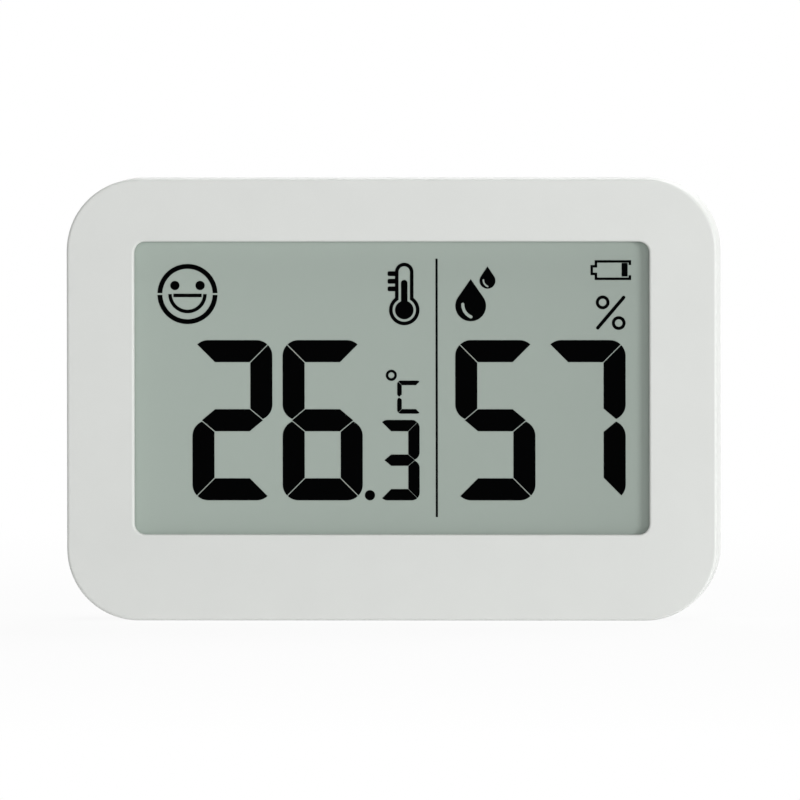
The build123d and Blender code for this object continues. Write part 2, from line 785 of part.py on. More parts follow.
pieces = {
    "front_cover": make_front_cover(),
    "window_gasket": slab(gasket_outline, film_top, front_inside),
    "front_polariser": slab(window_outline(film_overlap), glass_top, film_top),
    "front_glass": slab(front_glass_outline, rear_glass_top, glass_top),
    "rear_glass": slab(rear_glass_outline, reflector_top, rear_glass_top),
    "reflector_film": slab(window_outline(film_overlap), frame_top, reflector_top),
    "display_frame": make_display_frame(),
    "contact_strip": make_contact_strip(),
    "main_board": make_main_board(),
    "board_screws": make_screws(
        board_screw_places,
        board_back,
        board_screw_shank_radius,
        board_thickness + board_screw_grip,
        board_screw_head_radius,
        board_screw_head_height,
    ),
    "controller_chip": make_controller_chip(),
    "chip_capacitors": make_capacitors(),
    "timing_crystal": make_crystal(),
    "radio_board": make_radio_board(),
    "radio_shield": make_radio_shield(),
    "humidity_sensor": make_humidity_sensor(),
    "tact_switch": make_tact_switch(),
    "switch_plunger": make_switch_plunger(),
    "push_button": make_push_button(),
    "negative_contact": make_negative_contact(),
    "positive_contact": make_positive_contact(),
    "coin_cell": make_coin_cell(),
    "battery_cover": make_battery_cover(),
    "folding_stand": make_stand(),
    "back_cover": make_back_cover(),
    "case_screws": make_screws(
        case_screw_places,
        case_screw_seat,
        case_screw_shank_radius,
        seam_height + case_screw_grip - case_screw_seat,
        case_screw_head_radius,
        case_screw_head_height,
    ),
}

os.makedirs("parts", exist_ok=True)
for name, piece in pieces.items():
    piece = stand_up(piece)
    piece.label = name
    export_step(piece, f"parts/{name}.step")
    size = piece.bounding_box().size
    print(f"{name}: {size.X:.2f} x {size.Y:.2f} x {size.Z:.2f} mm, {len(piece.solids())} solid(s)")
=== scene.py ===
# %% [markdown]
# # A temperature and humidity sensor, dressed and lit
#
# The object is a slim plastic case with a wide segment display. Its 26 pieces come as finished
# solids, so this lesson leaves their shapes alone. It gives each piece the finish of the real one,
# models what the display shows, and sets up a camera, soft lamps and a floor.

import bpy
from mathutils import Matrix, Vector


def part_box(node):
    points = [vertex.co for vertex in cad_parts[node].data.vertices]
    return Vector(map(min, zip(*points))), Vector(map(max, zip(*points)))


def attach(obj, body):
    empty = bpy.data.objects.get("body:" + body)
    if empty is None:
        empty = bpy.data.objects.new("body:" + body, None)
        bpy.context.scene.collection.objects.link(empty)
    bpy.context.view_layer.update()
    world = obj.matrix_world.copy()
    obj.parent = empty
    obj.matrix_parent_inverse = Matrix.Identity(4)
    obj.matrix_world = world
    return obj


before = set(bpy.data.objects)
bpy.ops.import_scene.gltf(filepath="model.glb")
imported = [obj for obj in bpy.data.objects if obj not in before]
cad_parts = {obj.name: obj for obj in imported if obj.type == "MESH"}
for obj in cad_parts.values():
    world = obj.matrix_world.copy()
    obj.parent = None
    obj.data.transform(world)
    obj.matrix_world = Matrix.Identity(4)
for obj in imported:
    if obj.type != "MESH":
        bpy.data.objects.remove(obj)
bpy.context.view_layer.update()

from math import acos, asin, atan2, cos, pi, radians, sin

import bmesh
import bpy
from mathutils import Matrix, Vector

MM = 0.001

# %% [markdown]
# ## Camera
#
# A product like this is photographed from far away with a very long lens, so that its edges stay
# parallel. A short lens close by would show the walls of the window. The camera stands a little to
# the right of straight ahead and a little above, which shows the right side wall as a narrow band.
# From there the long edges look tilted by less than a tenth of a degree, and the roll levels them.
# The camera looks at the point of the face that lies in the middle of the picture, and its distance
# follows from the width that the picture takes in.

# %% Camera
face_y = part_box("front_cover")[0].y
view_width = 86.04 * MM
view_x = 0.915 * MM
view_z = 23.74 * MM
view_azimuth = 3.0
view_elevation = 1.6
view_roll = -0.08
lens_length = 1000
sensor_width = 36


def place_looking(holder, target, azimuth, elevation, distance):
    """Puts a lamp or camera where it looks at target, azimuth degrees right of the front."""
    turn = Matrix.Rotation(radians(azimuth), 4, "Z") @ Matrix.Rotation(radians(90 - elevation), 4, "X")
    holder.matrix_world = Matrix.Translation(target) @ turn @ Matrix.Translation((0, 0, distance))
    bpy.context.scene.collection.objects.link(holder)


lens = bpy.data.cameras.new("camera")
lens.lens = lens_length
lens.sensor_width = sensor_width
view_distance = view_width * lens_length / sensor_width
camera = bpy.data.objects.new("camera", lens)
place_looking(camera, (view_x, face_y, view_z), view_azimuth, view_elevation, view_distance)
camera.matrix_world @= Matrix.Rotation(radians(view_roll), 4, "Z")
bpy.context.scene.camera = camera
print(f"camera {view_distance:.3f} m from the face")

# %% [markdown]
# ## Light
#
# Five soft lamps light the object, and the world adds only a low fill, so the edges that face away
# from the lamps stay darker and the case looks solid. The key stands to the right at the object's
# height and throws the soft shadow of the window's right edge on the display. Its width sets how
# soft that shadow is. A large lamp beside the camera lights the face and the display evenly, up to
# their edges. A rim lamp, almost beside the object, brightens the rounded edges that face right. It
# is hardly taller than the object, because light that skims the top face glares from the far side.
# An overhead lamp brightens the top edges, and the last one, above and behind, keeps the back
# readable from other sides. A lamp's power is worked out from the level that it should give, where
# a level of 1 shows a colour as it is written.

# %% Lamps
aim = Vector((0, 0, 24 * MM))


def add_lamp(name, azimuth, elevation, distance, width, height, level):
    """A soft rectangular lamp that gives a face turned to it the level asked for."""
    lamp = bpy.data.lights.new(name, "AREA")
    lamp.shape = "RECTANGLE"
    lamp.size = width
    lamp.size_y = height
    lamp.energy = level * pi**2 * distance**2
    place_looking(bpy.data.objects.new(name, lamp), aim, azimuth, elevation, distance)
    print(f"{name}: {lamp.energy:.2f} W")


add_lamp("key_lamp", azimuth=43, elevation=2, distance=0.8, width=0.22, height=0.15, level=0.495)
add_lamp("front_lamp", azimuth=6, elevation=3, distance=1.6, width=0.8, height=0.8, level=0.31)
add_lamp("rim_lamp", azimuth=86, elevation=0, distance=0.6, width=0.2, height=0.06, level=0.3)
add_lamp("top_lamp", azimuth=20, elevation=82, distance=0.7, width=0.4, height=0.3, level=0.36)
add_lamp("back_lamp", azimuth=165, elevation=40, distance=0.8, width=0.5, height=0.4, level=0.5)

# %% [markdown]
# ## World
#
# The picture's background is pure white, and so is what gloss and glass should mirror. Making the
# world that bright would wash the object out. Instead Light Path asks what kind of ray looks: the
# camera, a reflection or a refraction sees white, while the light on matt surfaces stays at a
# plain level.

# %% World
fill_level = 0.15
pure_white = (1, 1, 1, 1)


def add_either(tree, tests):
    """A socket that is 1 where any of the tests is 1."""
    passed = tests[0]
    for test in tests[1:]:
        either = tree.nodes.new("ShaderNodeMath")
        either.operation = "MAXIMUM"
        tree.links.new(passed, either.inputs[0])
        tree.links.new(test, either.inputs[1])
        passed = either.outputs[0]
    return passed


def add_white_ray_test(tree):
    """A socket that is 1 for camera, glossy and transmission rays, and 0 for light on matt surfaces."""
    rays = tree.nodes.new("ShaderNodeLightPath")
    kinds = ("Is Camera Ray", "Is Glossy Ray", "Is Transmission Ray")
    return add_either(tree, [rays.outputs[kind] for kind in kinds])


world = bpy.data.worlds.new("studio")
world.use_nodes = True
bpy.context.scene.world = world
sky = world.node_tree
sky.nodes.clear()
plain = sky.nodes.new("ShaderNodeBackground")
plain.inputs["Color"].default_value = pure_white
plain.inputs["Strength"].default_value = fill_level
white = sky.nodes.new("ShaderNodeBackground")
white.inputs["Color"].default_value = pure_white
choice = sky.nodes.new("ShaderNodeMixShader")
result = sky.nodes.new("ShaderNodeOutputWorld")
sky.links.new(add_white_ray_test(sky), choice.inputs[0])
sky.links.new(plain.outputs[0], choice.inputs[1])
sky.links.new(white.outputs[0], choice.inputs[2])
sky.links.new(choice.outputs[0], result.inputs["Surface"])
bpy.context.scene.view_settings.view_transform = "Standard"
print("the world's fill level is", fill_level)

# %% [markdown]
# ## Floor
#
# The floor tells rays apart as the world does, but near the object it keeps a part of its own
# shading for the camera, so the object still has a soft shadow. It also glows a little on the
# object, like a light table, because the lower edges would look dark without that. A light table
# could be built from glass over a lamp, but matt paint mixed with a glow looks the same and is
# rendered sooner.

# %% Floor
floor_colour = (0.85, 0.85, 0.85)
floor_reach = 3
floor_shading = 0.08
floor_glow = 0.3
shading_start = 60 * MM
shading_end = 300 * MM

floor_paint = bpy.data.materials.new("floor_paint")
floor_paint.use_nodes = True
paint = floor_paint.node_tree
paint.nodes.clear()
matt = paint.nodes.new("ShaderNodeBsdfDiffuse")
matt.inputs["Color"].default_value = (*floor_colour, 1)
glow = paint.nodes.new("ShaderNodeEmission")
glow.inputs["Strength"].default_value = 1
place = paint.nodes.new("ShaderNodeTexCoord")
distance = paint.nodes.new("ShaderNodeVectorMath")
distance.operation = "LENGTH"
fade = paint.nodes.new("ShaderNodeMapRange")
fade.inputs["From Min"].default_value = shading_start
fade.inputs["From Max"].default_value = shading_end
fade.inputs["To Min"].default_value = 1 - floor_shading
fade.inputs["To Max"].default_value = 1
share = paint.nodes.new("ShaderNodeMapRange")
share.inputs["To Min"].default_value = floor_glow
blend = paint.nodes.new("ShaderNodeMixShader")
surface = paint.nodes.new("ShaderNodeOutputMaterial")
paint.links.new(place.outputs["Object"], distance.inputs[0])
paint.links.new(distance.outputs["Value"], fade.inputs[0])
paint.links.new(fade.outputs[0], share.inputs["To Max"])
paint.links.new(add_white_ray_test(paint), share.inputs[0])
paint.links.new(share.outputs[0], blend.inputs[0])
paint.links.new(matt.outputs[0], blend.inputs[1])
paint.links.new(glow.outputs[0], blend.inputs[2])
paint.links.new(blend.outputs[0], surface.inputs["Surface"])

ground = bmesh.new()
bmesh.ops.create_grid(ground, x_segments=1, y_segments=1, size=floor_reach)
floor_mesh = bpy.data.meshes.new("floor")
ground.to_mesh(floor_mesh)
ground.free()
floor_mesh.materials.append(floor_paint)
floor = bpy.data.objects.new("floor", floor_mesh)
bpy.context.scene.collection.objects.link(floor)
print("the floor reaches", floor_reach, "m each way, shaded within", shading_end, "m")

# %% [markdown]
# ## Finishes
#
# A real surface is never one flat colour. Moulded plastic takes a fine spark-eroded texture from
# its tool and varies slightly in tint, and metal shows how it was rolled or pressed. These small
# differences come from noise on Object coordinates, which are metres here, so each size below is
# the real one. A few helpers keep the finishes short. The first ones add the shader, its nodes and
# a noise.

# %% Shader and noise
def new_finish(name, colour, roughness, metallic=0.0):
    """A material with one Principled shader, which is returned with it."""
    finish = bpy.data.materials.new(name)
    finish.use_nodes = True
    shader = finish.node_tree.nodes["Principled BSDF"]
    shader.inputs["Base Color"].default_value = (*colour, 1)
    shader.inputs["Roughness"].default_value = roughness
    shader.inputs["Metallic"].default_value = metallic
    return finish, shader


def add_node(finish, kind, **settings):
    """A new node in a finish. Settings name its sockets, or else its properties."""
    node = finish.node_tree.nodes.new(kind)
    for name, value in settings.items():
        socket = name.replace("_", " ").title()
        if socket in node.inputs:
            node.inputs[socket].default_value = value
        else:
            setattr(node, name, value)
    return node


def wire(finish, source, target):
    """Links an output socket to an input socket."""
    finish.node_tree.links.new(source, target)


def add_place(finish, centre=(0, 0, 0), squeeze=(1, 1, 1)):
    """Where a point lies on the object, in metres from centre, or squeezed along the axes."""
    place = add_node(finish, "ShaderNodeTexCoord")
    shift = add_node(finish, "ShaderNodeMapping", location=[-value for value in centre], scale=squeeze)
    wire(finish, place.outputs["Object"], shift.inputs["Vector"])
    return shift.outputs["Vector"]


def add_noise(finish, size, detail=2.0, squeeze=(1, 1, 1)):
    """Noise whose blotches measure about size, in metres, or less along a squeezed axis."""
    noise = add_node(finish, "ShaderNodeTexNoise", scale=1 / size, detail=detail)
    wire(finish, add_place(finish, squeeze=squeeze), noise.inputs["Vector"])
    return noise.outputs["Fac"]


print("helpers for shader and noise are ready")

# %% [markdown]
# ## Tint, roughness and bumps
#
# A noise goes from 0 to 1, so it can drive anything that goes from one value to another. One noise
# may drive the tint, the roughness and the bumps of a surface together. They then belong to each
# other, as on a real surface, where one tool mark changes them all.

# %% Tint, roughness and bumps
def vary_tint(finish, shader, factor, first, last):
    """Sends the base colour from first to last as factor goes from 0 to 1."""
    tint = add_node(finish, "ShaderNodeMix", data_type="RGBA")
    tint.inputs["A"].default_value = (*first, 1)
    tint.inputs["B"].default_value = (*last, 1)
    wire(finish, factor, tint.inputs["Factor"])
    wire(finish, tint.outputs["Result"], shader.inputs["Base Color"])


def vary_roughness(finish, shader, factor, low, high):
    """Sends the roughness from low to high as factor goes from 0 to 1."""
    span = add_node(finish, "ShaderNodeMapRange", to_min=low, to_max=high)
    wire(finish, factor, span.inputs["Value"])
    wire(finish, span.outputs["Result"], shader.inputs["Roughness"])


def add_bump(finish, shader, height, depth):
    """Bumps as deep as depth, in metres, where height goes from 0 to 1."""
    bump = add_node(finish, "ShaderNodeBump", distance=depth)
    wire(finish, height, bump.inputs["Height"])
    wire(finish, bump.outputs["Normal"], shader.inputs["Normal"])


def shade(colour, factor):
    """A colour, lighter or darker by a factor."""
    return tuple(channel * factor for channel in colour)


print("helpers for tint, roughness and bumps are ready")

# %% [markdown]
# ## Case plastic
#
# The covers, the stand and the button are moulded in one off-white plastic with a fine matt
# texture. The texture could be modelled with displacement, but at a few thousandths of a
# millimetre deep a bump is enough, and cheaper. Two noises are used: a fine one for the texture,
# and a broad, very faint one for the tint, because a large flat face of pure colour looks like
# paper. The display's frame, the switch's plunger and the sensor chip are moulded as well, and
# differ in colour, gloss and grain.

# %% Case plastic
case_colour = (0.666, 0.680, 0.659)
frame_colour = (0.6, 0.61, 0.59)
switch_black = (0.015, 0.015, 0.016)
sensor_white = (0.75, 0.75, 0.72)
blotch_size = 7 * MM
tint_swing = 0.025
roughness_swing = 0.06


def make_moulded_plastic(name, colour, roughness, grain_size, grain_depth):
    """Moulded plastic with the matt texture of its tool."""
    finish, shader = new_finish(name, colour, roughness)
    blotches = add_noise(finish, blotch_size, detail=3.0)
    vary_tint(finish, shader, blotches, shade(colour, 1 - tint_swing), shade(colour, 1 + tint_swing))
    grain = add_noise(finish, grain_size)
    vary_roughness(finish, shader, grain, roughness - roughness_swing, roughness + roughness_swing)
    add_bump(finish, shader, grain, grain_depth)
    return finish


case_plastic = make_moulded_plastic(
    "case_plastic", case_colour, roughness=0.52, grain_size=0.16 * MM, grain_depth=0.004 * MM
)
button_plastic = make_moulded_plastic(
    "button_plastic", case_colour, roughness=0.42, grain_size=0.12 * MM, grain_depth=0.002 * MM
)
frame_plastic = make_moulded_plastic(
    "frame_plastic", frame_colour, roughness=0.5, grain_size=0.3 * MM, grain_depth=0.003 * MM
)
switch_plastic = make_moulded_plastic(
    "switch_plastic", switch_black, roughness=0.5, grain_size=0.1 * MM, grain_depth=0.002 * MM
)
sensor_resin = make_moulded_plastic(
    "sensor_resin", sensor_white, roughness=0.4, grain_size=0.08 * MM, grain_depth=0.001 * MM
)
print("case colour", case_colour)

# %% [markdown]
# ## Display
#
# A reflective segment display looks grey-green because light crosses two polarisers and comes back
# from a satin film. All that could be traced through real glass, at a high price in noise. The
# front polariser has an anti-glare skin that hides the depth anyway, so it is shaded as an opaque
# surface: a grey-green with a very fine sparkle, painted lighter on the left and darker on the
# right as painted light and shade across the display. A dark segment lies behind the same skin,
# but it is almost black and gets no shine, because any shine would turn it grey.

# %% Display surface
film_colour = (0.325, 0.378, 0.34)
# painted light and shade: the display film is painted lighter on the left and darker on the right
film_painted_light = 1.06
film_painted_shade = 0.92
film_shine = 0.3
film_low, film_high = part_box("front_polariser")
sparkle_size = 0.05 * MM
sparkle_depth = 0.0006 * MM


def make_display_film():
    """The anti-glare polariser, with painted light towards the left and painted shade towards the
    right.
    """
    finish, shader = new_finish("display_film", film_colour, roughness=0.4)
    split = add_node(finish, "ShaderNodeSeparateXYZ")
    wire(finish, add_place(finish), split.inputs["Vector"])
    across = add_node(finish, "ShaderNodeMapRange", from_min=film_low.x, from_max=film_high.x)
    wire(finish, split.outputs["X"], across.inputs["Value"])
    # painted light on the left and painted shade on the right, blended across the film
    painted_light_colour = shade(film_colour, film_painted_light)
    painted_shade_colour = shade(film_colour, film_painted_shade)
    vary_tint(finish, shader, across.outputs["Result"], painted_light_colour, painted_shade_colour)
    sparkle = add_noise(finish, sparkle_size, detail=1.0)
    vary_roughness(finish, shader, sparkle, low=0.36, high=0.46)
    add_bump(finish, shader, sparkle, sparkle_depth)
    shader.inputs["Specular IOR Level"].default_value = film_shine
    return finish


def make_segment_black():
    """What a switched segment looks like through the polariser."""
    colour = (0.0012, 0.0013, 0.0014)
    finish, shader = new_finish("segment_black", colour, roughness=0.5)
    sparkle = add_noise(finish, sparkle_size, detail=1.0)
    vary_tint(finish, shader, sparkle, shade(colour, 0.7), shade(colour, 1.3))
    shader.inputs["Specular IOR Level"].default_value = 0.0
    return finish


display_film = make_display_film()
segment_black = make_segment_black()
print("display surface at", round(film_low.y / MM, 2), "mm")

# %% [markdown]
# ## Glass and reflector
#
# Behind the polariser lie two thin glasses and the satin film that sends the light back. The
# picture doesn't show them, but whoever hides the polariser should find them right. Glass could be
# a plain glass shader, but the Principled one also takes the bumps: here a broad, faint waviness,
# which keeps large reflections from being quite straight. The film is partly metallic, with a fine
# satin noise.

# %% Glass and reflector
refractive_index = 1.52
wave_size = 9 * MM
wave_depth = 0.002 * MM
satin_size = 0.08 * MM
satin_depth = 0.002 * MM


def make_display_glass():
    """Thin float glass, slightly green, with the faint waviness of its surface."""
    colour = (0.9, 0.96, 0.93)
    finish, shader = new_finish("display_glass", colour, roughness=0.02)
    shader.inputs["Transmission Weight"].default_value = 1.0
    shader.inputs["IOR"].default_value = refractive_index
    add_bump(finish, shader, add_noise(finish, wave_size, detail=1.0), wave_depth)
    return finish


def make_reflector():
    """The satin film behind the glass that sends the light back."""
    colour = (0.62, 0.66, 0.6)
    finish, shader = new_finish("reflector", colour, roughness=0.35, metallic=0.6)
    satin = add_noise(finish, satin_size)
    vary_tint(finish, shader, satin, shade(colour, 0.9), colour)
    add_bump(finish, shader, satin, satin_depth)
    return finish


display_glass = make_display_glass()
reflector = make_reflector()
print("refractive index of the glass", refractive_index)

# %% [markdown]
# ## Foam and rubber
#
# The gasket round the display is a cut foam tape, full of small cells. The strip that feeds the
# display is built of alternating carbon-black and clear rubber, five black layers to a millimetre.
# Foam cells are what a Voronoi texture draws, and the layers are a wave texture along the strip,
# cut hard by a colour ramp. At a scale of 1 a wave texture draws 20 bands in 2 pi metres.

# %% Foam and rubber
foam_cell = 0.12 * MM
foam_depth = 0.03 * MM
layer_pitch = 0.2 * MM
bands_to_a_metre = 20 / (2 * pi)


def make_foam():
    """Pale closed-cell foam."""
    colour = (0.42, 0.44, 0.42)
    finish, shader = new_finish("gasket_foam", colour, roughness=0.9)
    cells = add_node(finish, "ShaderNodeTexVoronoi", scale=1 / foam_cell)
    wire(finish, add_place(finish), cells.inputs["Vector"])
    vary_tint(finish, shader, cells.outputs["Distance"], shade(colour, 0.8), shade(colour, 1.2))
    add_bump(finish, shader, cells.outputs["Distance"], foam_depth)
    return finish


def make_layered_rubber():
    """Elastomer strip with conducting layers across its length."""
    carbon = (0.012, 0.012, 0.012)
    clear = (0.55, 0.24, 0.26)
    finish, shader = new_finish("strip_rubber", clear, roughness=0.6)
    layers = add_node(finish, "ShaderNodeTexWave", scale=1 / (bands_to_a_metre * layer_pitch))
    wire(finish, add_place(finish), layers.inputs["Vector"])
    edge = add_node(finish, "ShaderNodeValToRGB")
    edge.color_ramp.interpolation = "CONSTANT"
    edge.color_ramp.elements[0].color = (*carbon, 1)
    edge.color_ramp.elements[1].position = 0.5
    edge.color_ramp.elements[1].color = (*clear, 1)
    wire(finish, layers.outputs["Fac"], edge.inputs["Fac"])
    wire(finish, edge.outputs["Color"], shader.inputs["Base Color"])
    return finish


gasket_foam = make_foam()
layered_rubber = make_layered_rubber()
print("foam and layered rubber are ready")

# %% [markdown]
# ## Circuit boards
#
# A board is glass laminate under coloured solder mask, and the copper tracks below the mask stand
# out slightly. They could be drawn on an image, but no table of tracks is needed: the distance to
# scattered points, measured along the axes, makes nested diamonds, and thin lines cut from it run
# straight and turn at right angles like tracks.

# %% Circuit boards
point_spacing = 6 * MM
track_pitch = 0.6 * MM
track_edge_shares = (0.52, 0.64)
track_height = 0.02 * MM


def make_board(name, mask, track):
    """Solder mask over copper tracks."""
    finish, shader = new_finish(name, mask, roughness=0.32)
    points = add_node(
        finish, "ShaderNodeTexVoronoi", scale=1 / point_spacing, distance="MANHATTAN", randomness=0.8
    )
    wire(finish, add_place(finish), points.inputs["Vector"])
    half_pitch = track_pitch / 2 / point_spacing
    lines = add_node(finish, "ShaderNodeMath", operation="PINGPONG")
    lines.inputs[1].default_value = half_pitch
    wire(finish, points.outputs["Distance"], lines.inputs[0])
    foot, shoulder = [share * half_pitch for share in track_edge_shares]
    copper = add_node(finish, "ShaderNodeMapRange", from_min=foot, from_max=shoulder)
    wire(finish, lines.outputs[0], copper.inputs["Value"])
    vary_tint(finish, shader, copper.outputs["Result"], mask, track)
    add_bump(finish, shader, copper.outputs["Result"], track_height)
    return finish


main_mask = make_board("board_laminate", mask=(0.012, 0.11, 0.04), track=(0.03, 0.2, 0.08))
radio_mask = make_board("radio_laminate", mask=(0.008, 0.03, 0.09), track=(0.02, 0.07, 0.19))
print("tracks", track_pitch / MM, "mm apart")

# %% [markdown]
# ## Chips
#
# A chip is black epoxy on tinned leads, a capacitor is brown ceramic with tinned ends, and the push
# switch has tinned feet. One solid holds both materials here, so the finish itself has to change
# from body to metal. A second material slot would need the faces sorted. It is simpler to ask how
# far a point lies from the middle of the piece, and to turn to metal where that is past the body.

# %% Chips
tin_colour = (0.7, 0.69, 0.66)
tin_roughness = 0.3
body_roughness = 0.55
body_grain = 0.06 * MM
body_grain_depth = 0.003 * MM
chip_half_body = 3.51 * MM
capacitor_half_body = 0.5 * MM
switch_half_body = 2.31 * MM
chip_black = (0.012, 0.012, 0.013)
capacitor_brown = (0.2, 0.13, 0.07)


def make_tinned_part(name, body_colour, node, half_body):
    """A moulded part that is metal outside half_body, its body's reach from the middle by axis."""
    low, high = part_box(node)
    finish, shader = new_finish(name, body_colour, body_roughness)
    split = add_node(finish, "ShaderNodeSeparateXYZ")
    wire(finish, add_place(finish, (low + high) / 2), split.inputs["Vector"])
    tests = []
    for axis, reach in half_body.items():
        size = add_node(finish, "ShaderNodeMath", operation="ABSOLUTE")
        wire(finish, split.outputs[axis], size.inputs[0])
        beyond = add_node(finish, "ShaderNodeMath", operation="GREATER_THAN")
        beyond.inputs[1].default_value = reach
        wire(finish, size.outputs[0], beyond.inputs[0])
        tests.append(beyond.outputs[0])
    metal = add_either(finish.node_tree, tests)
    vary_tint(finish, shader, metal, body_colour, tin_colour)
    vary_roughness(finish, shader, metal, body_roughness, tin_roughness)
    wire(finish, metal, shader.inputs["Metallic"])
    add_bump(finish, shader, add_noise(finish, body_grain), body_grain_depth)
    return finish


chip_epoxy = make_tinned_part(
    "chip_epoxy", chip_black, "controller_chip", {"X": chip_half_body, "Z": chip_half_body}
)
capacitor_ceramic = make_tinned_part(
    "capacitor_ceramic", capacitor_brown, "chip_capacitors", {"Z": capacitor_half_body}
)
switch_body = make_tinned_part("switch_body", switch_black, "tact_switch", {"X": switch_half_body})
print("chip body", 2 * chip_half_body / MM, "mm wide")

# %% [markdown]
# ## Metal
#
# The screws are zinc plated, the shield and the crystal's can are pressed tin plate, the contacts
# are nickel-plated spring steel and the cell is a polished can. They differ in colour, roughness
# and the direction of their marks: rolled sheet has fine streaks one way, a deep-drawn can has
# rings round its axis, and zinc has an even grain. Noise that is squeezed along z leaves streaks
# that run along x.

# %% Metal
zinc_colour = (0.55, 0.56, 0.58)
nickel_colour = (0.64, 0.61, 0.55)
tin_plate_colour = (0.6, 0.6, 0.58)
can_colour = (0.62, 0.62, 0.61)
streak_squeeze = (1, 1, 12)
plating_depth = 0.001 * MM
ring_pitch = 5.236 * MM
ring_depth = 0.0004 * MM


def make_plated_metal(name, colour, roughness, grain_size, squeeze=(1, 1, 1)):
    """Plated metal with an even grain, or with streaks where squeeze packs the grain."""
    finish, shader = new_finish(name, colour, roughness, metallic=1.0)
    grain = add_noise(finish, grain_size, detail=3.0, squeeze=squeeze)
    vary_tint(finish, shader, grain, shade(colour, 0.9), shade(colour, 1.08))
    vary_roughness(finish, shader, grain, low=roughness - 0.06, high=roughness + 0.1)
    add_bump(finish, shader, grain, plating_depth)
    return finish


def make_drawn_can():
    """The coin cell's polished can, with faint rings round its axis."""
    low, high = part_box("coin_cell")
    finish, shader = new_finish("cell_steel", can_colour, roughness=0.22, metallic=1.0)
    rings = add_node(
        finish,
        "ShaderNodeTexWave",
        wave_type="RINGS",
        rings_direction="Y",
        scale=1 / (bands_to_a_metre * ring_pitch),
        distortion=3.0,
    )
    wire(finish, add_place(finish, (low + high) / 2), rings.inputs["Vector"])
    vary_tint(finish, shader, rings.outputs["Fac"], shade(can_colour, 0.94), can_colour)
    add_bump(finish, shader, rings.outputs["Fac"], ring_depth)
    return finish


screw_zinc = make_plated_metal("screw_zinc", zinc_colour, roughness=0.34, grain_size=0.3 * MM)
spring_nickel = make_plated_metal(
    "spring_nickel", nickel_colour, roughness=0.26, grain_size=0.2 * MM, squeeze=streak_squeeze
)
tin_plate = make_plated_metal(
    "tin_plate", tin_plate_colour, roughness=0.36, grain_size=0.4 * MM, squeeze=streak_squeeze
)
cell_can = make_drawn_can()
print("rings on the cell", ring_pitch / MM, "mm apart")

# %% [markdown]
# ## Dressing the solids
#
# Each solid came with a plain material. Assigning to its material slot changes the finish and
# leaves the shape alone, so one table of names does it.

# %% Dress the solids
finishes = {
    case_plastic: ["front_cover", "back_cover", "battery_cover", "folding_stand"],
    button_plastic: ["push_button"],
    frame_plastic: ["display_frame"],
    switch_plastic: ["switch_plunger"],
    switch_body: ["tact_switch"],
    sensor_resin: ["humidity_sensor"],
    display_film: ["front_polariser"],
    display_glass: ["front_glass", "rear_glass"],
    reflector: ["reflector_film"],
    gasket_foam: ["window_gasket"],
    layered_rubber: ["contact_strip"],
    main_mask: ["main_board"],
    radio_mask: ["radio_board"],
    chip_epoxy: ["controller_chip"],
    capacitor_ceramic: ["chip_capacitors"],
    tin_plate: ["timing_crystal", "radio_shield"],
    screw_zinc: ["board_screws", "case_screws"],
    spring_nickel: ["negative_contact", "positive_contact"],
    cell_can: ["coin_cell"],
}
for finish, names in finishes.items():
    for name in names:
        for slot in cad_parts[name].material_slots:
            slot.material = finish
dressed = sum(len(names) for names in finishes.values())
print(dressed, "solids dressed,", len(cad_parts) - dressed, "left")

# %% [markdown]
# ## Drawing the display's marks
#
# The marks are dark areas with sharp edges: digits of straight segments, and a few signs. They
# could be text, but a display's segments aren't letters of a font, so they are drawn flat, in
# millimetres, and get their thickness at the end. A rectangle comes from a grid, its round corners
# from a vertex bevel, and a ring from a spun edge. The round ends of a bar are corners too, of just
# under half its width, because two corners that met would leave no edge between them.

# %% Boxes, bars, discs and rings
arc_step = radians(5)
corner_segments = 12
round_end_share = 0.499


def new_box(left, right, low, high, radius=0):
    """A flat rectangle, with round corners where radius is given."""
    shape = bmesh.new()
    corners = bmesh.ops.create_grid(shape, x_segments=1, y_segments=1, size=0.5)["verts"]
    bmesh.ops.scale(shape, vec=(right - left, high - low, 1), verts=corners)
    bmesh.ops.translate(shape, vec=((left + right) / 2, (low + high) / 2, 0), verts=corners)
    if radius:
        bmesh.ops.bevel(
            shape,
            geom=corners,
            offset=radius,
            offset_type="OFFSET",
            segments=corner_segments,
            profile=0.5,
            affect="VERTICES",
            material=-1,
        )
    return shape


def new_bar(start, end, width):
    """A bar with round ends from one point to another."""
    run = Vector(end) - Vector(start)
    round_end = round_end_share * width
    shape = new_box(-width / 2, run.length + width / 2, -width / 2, width / 2, round_end)
    turn = Matrix.Rotation(atan2(run.y, run.x), 4, "Z")
    bmesh.ops.transform(shape, matrix=Matrix.Translation((*start, 0)) @ turn, verts=shape.verts[:])
    return shape


def new_disc(radius):
    """A filled circle."""
    shape = bmesh.new()
    bmesh.ops.create_circle(shape, cap_ends=True, segments=round(2 * pi / arc_step), radius=radius)
    return shape


def new_ring(outer, stroke, start=0, turn=2 * pi):
    """A flat ring, or a part of one, swept from a short edge."""
    shape = bmesh.new()
    way = Vector((cos(start), sin(start), 0))
    ends = [shape.verts.new(way * radius) for radius in (outer - stroke, outer)]
    edge = shape.edges.new(ends)
    steps = round(turn / arc_step)
    bmesh.ops.spin(
        shape, geom=[*ends, edge], axis=(0, 0, 1), angle=turn, steps=steps, use_merge=turn == 2 * pi
    )
    return shape


print("arcs turn in steps of", round(arc_step, 4), "radians")

# %% [markdown]
# ## Cuts, outlines and stamps
#
# A slanted end is cut from a longer shape, as with a knife. A freer outline, such as a drop, starts
# from vertices that are spun into arcs, joined and filled. Each shape is finished by itself and
# then stamped into the mesh of its mark, so that no cut or fill reaches a neighbour.

# %% Cuts, outlines and stamps
weld_distance = 0.0001


